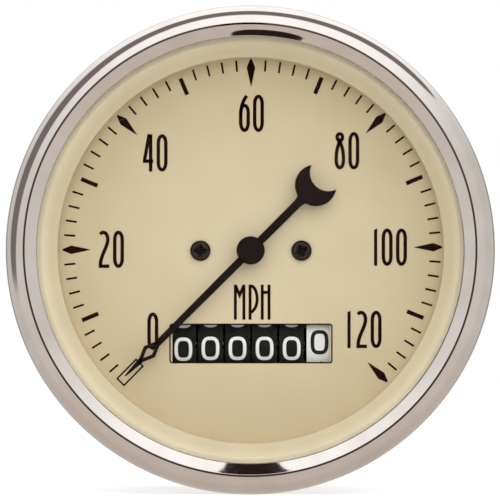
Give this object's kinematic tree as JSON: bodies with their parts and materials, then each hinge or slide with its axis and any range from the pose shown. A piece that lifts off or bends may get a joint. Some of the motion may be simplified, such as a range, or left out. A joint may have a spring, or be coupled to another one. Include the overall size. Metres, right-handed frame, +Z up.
{
  "type": "vintage speedometer",
  "caption": "Round panel speedometer: chrome bezel, cream dial with a black pointer, roller odometer, and a cable-driven eddy-current movement in a steel case.",
  "frame": {"origin": "on the instrument's axis at the bezel's rear face, where it seats on the panel", "axes": "+Y along the axis towards the rear, +Z up, +X to the right as seen from the front"},
  "size_m": [0.093, 0.0821, 0.093],
  "materials": {
    "chrome": "polished",
    "glass": "clear, flat",
    "rubber": "matte",
    "cream_enamel": "satin cream",
    "black_screw": "black oxide",
    "pointer_black": "satin black",
    "case_steel": "zinc plated, satin",
    "zinc_steel": "zinc plated",
    "die_cast": "die cast",
    "aluminium": "spun",
    "magnet_steel": "dark",
    "tinned_steel": "tinned",
    "bright_steel": "ground",
    "brass": "turned",
    "white_plastic": "satin",
    "black_plastic": "satin",
    "bulb_glass": "clear"
  },
  "bodies": {
    "instrument": {"bezel": "chrome", "lens": "glass", "lens_gasket": "rubber", "reflector_ring": "cream_enamel", "case": "case_steel", "case_screws": "zinc_steel", "dial_plate": "cream_enamel", "dial_screws": "black_screw", "hairspring": "brass", "hairspring_stud": "brass", "top_bush": "brass", "bridge": "die_cast", "bridge_screws": "zinc_steel", "field_cup": "magnet_steel", "frame": "die_cast", "mounting_studs": "zinc_steel", "cable_nose": "zinc_steel", "drive_bush": "brass", "odometer_axle": "bright_steel", "pinion_carriers": "black_screw", "carrier_rail": "bright_steel", "left_side_plate": "tinned_steel", "right_side_plate": "tinned_steel", "side_plate_screws": "zinc_steel", "lamp_sockets": "tinned_steel", "lamp_bulbs": "bulb_glass", "lamp_contacts": "brass"},
    "needle": {"pointer": "pointer_black", "pointer_hub": "pointer_black", "spindle": "bright_steel", "hairspring_collet": "brass", "speed_cup": "aluminium"},
    "rotor": {"drive_shaft": "bright_steel", "magnet": "magnet_steel", "lower_bush": "brass", "drive_worm": "brass"},
    "first_reduction": {"first_shaft": "bright_steel", "first_worm_wheel": "brass", "second_worm": "brass"},
    "second_reduction": {"lay_shaft": "bright_steel", "second_worm_wheel": "brass", "lay_gear": "brass"},
    "tenths": {"tenths_wheel": "white_plastic", "odometer_gear": "brass"},
    "units": {"units_wheel": "black_plastic"},
    "tens": {"tens_wheel": "black_plastic"},
    "hundreds": {"hundreds_wheel": "black_plastic"},
    "thousands": {"thousands_wheel": "black_plastic"},
    "ten_thousands": {"ten_thousands_wheel": "black_plastic"},
    "pinion_1": {"carry_pinion_1": "white_plastic"},
    "pinion_2": {"carry_pinion_2": "white_plastic"},
    "pinion_3": {"carry_pinion_3": "white_plastic"},
    "pinion_4": {"carry_pinion_4": "white_plastic"},
    "pinion_5": {"carry_pinion_5": "white_plastic"}
  },
  "joints": [
    {"name": "pointer_sweep", "type": "hinge", "parent": "instrument", "child": "needle", "pos_m": [0, 0, 0], "axis": [0, 1, 0], "range_deg": [0, 270], "stiffness_Nm_per_rad": 0.000015, "springref_deg": -17.19, "deforming": ["hairspring"]},
    {"name": "drive_spin", "type": "hinge", "parent": "instrument", "child": "rotor", "pos_m": [0, 0, 0], "axis": [0, 1, 0], "continuous": true},
    {"name": "first_shaft_spin", "type": "hinge", "parent": "instrument", "child": "first_reduction", "pos_m": [0.0084, 0.0477, 0], "axis": [0, 0, 1], "continuous": true},
    {"name": "lay_shaft_spin", "type": "hinge", "parent": "instrument", "child": "second_reduction", "pos_m": [0, 0.0379, -0.021], "axis": [1, 0, 0], "continuous": true},
    {"name": "tenths_spin", "type": "hinge", "parent": "instrument", "child": "tenths", "pos_m": [0, 0.0166, -0.0178], "axis": [1, 0, 0], "continuous": true},
    {"name": "units_spin", "type": "hinge", "parent": "instrument", "child": "units", "pos_m": [0, 0.0166, -0.0178], "axis": [1, 0, 0], "continuous": true},
    {"name": "tens_spin", "type": "hinge", "parent": "instrument", "child": "tens", "pos_m": [0, 0.0166, -0.0178], "axis": [1, 0, 0], "continuous": true},
    {"name": "hundreds_spin", "type": "hinge", "parent": "instrument", "child": "hundreds", "pos_m": [0, 0.0166, -0.0178], "axis": [1, 0, 0], "continuous": true},
    {"name": "thousands_spin", "type": "hinge", "parent": "instrument", "child": "thousands", "pos_m": [0, 0.0166, -0.0178], "axis": [1, 0, 0], "continuous": true},
    {"name": "ten_thousands_spin", "type": "hinge", "parent": "instrument", "child": "ten_thousands", "pos_m": [0, 0.0166, -0.0178], "axis": [1, 0, 0], "continuous": true},
    {"name": "carry_pinion_1_spin", "type": "hinge", "parent": "instrument", "child": "pinion_1", "pos_m": [0, 0.0214, -0.0178], "axis": [1, 0, 0], "continuous": true},
    {"name": "carry_pinion_2_spin", "type": "hinge", "parent": "instrument", "child": "pinion_2", "pos_m": [0, 0.0214, -0.0178], "axis": [1, 0, 0], "continuous": true},
    {"name": "carry_pinion_3_spin", "type": "hinge", "parent": "instrument", "child": "pinion_3", "pos_m": [0, 0.0214, -0.0178], "axis": [1, 0, 0], "continuous": true},
    {"name": "carry_pinion_4_spin", "type": "hinge", "parent": "instrument", "child": "pinion_4", "pos_m": [0, 0.0214, -0.0178], "axis": [1, 0, 0], "continuous": true},
    {"name": "carry_pinion_5_spin", "type": "hinge", "parent": "instrument", "child": "pinion_5", "pos_m": [0, 0.0214, -0.0178], "axis": [1, 0, 0], "continuous": true}
  ],
  "couplings": [
    {"joint": "first_shaft_spin", "follows": "drive_spin", "ratio": 0.04},
    {"joint": "lay_shaft_spin", "follows": "drive_spin", "ratio": 0.00076923},
    {"joint": "tenths_spin", "follows": "drive_spin", "ratio": -0.001},
    {"joint": "units_spin", "follows": "drive_spin", "ratio": -0.0001},
    {"joint": "tens_spin", "follows": "drive_spin", "ratio": -0.00001},
    {"joint": "hundreds_spin", "follows": "drive_spin", "ratio": -0.000001},
    {"joint": "thousands_spin", "follows": "drive_spin", "ratio": -0.0000001},
    {"joint": "ten_thousands_spin", "follows": "drive_spin", "ratio": -0.00000001},
    {"joint": "carry_pinion_1_spin", "follows": "drive_spin", "ratio": -0.00025},
    {"joint": "carry_pinion_2_spin", "follows": "drive_spin", "ratio": -0.000025},
    {"joint": "carry_pinion_3_spin", "follows": "drive_spin", "ratio": -0.0000025},
    {"joint": "carry_pinion_4_spin", "follows": "drive_spin", "ratio": -0.00000025},
    {"joint": "carry_pinion_5_spin", "follows": "drive_spin", "ratio": -0.000000025}
  ]
}
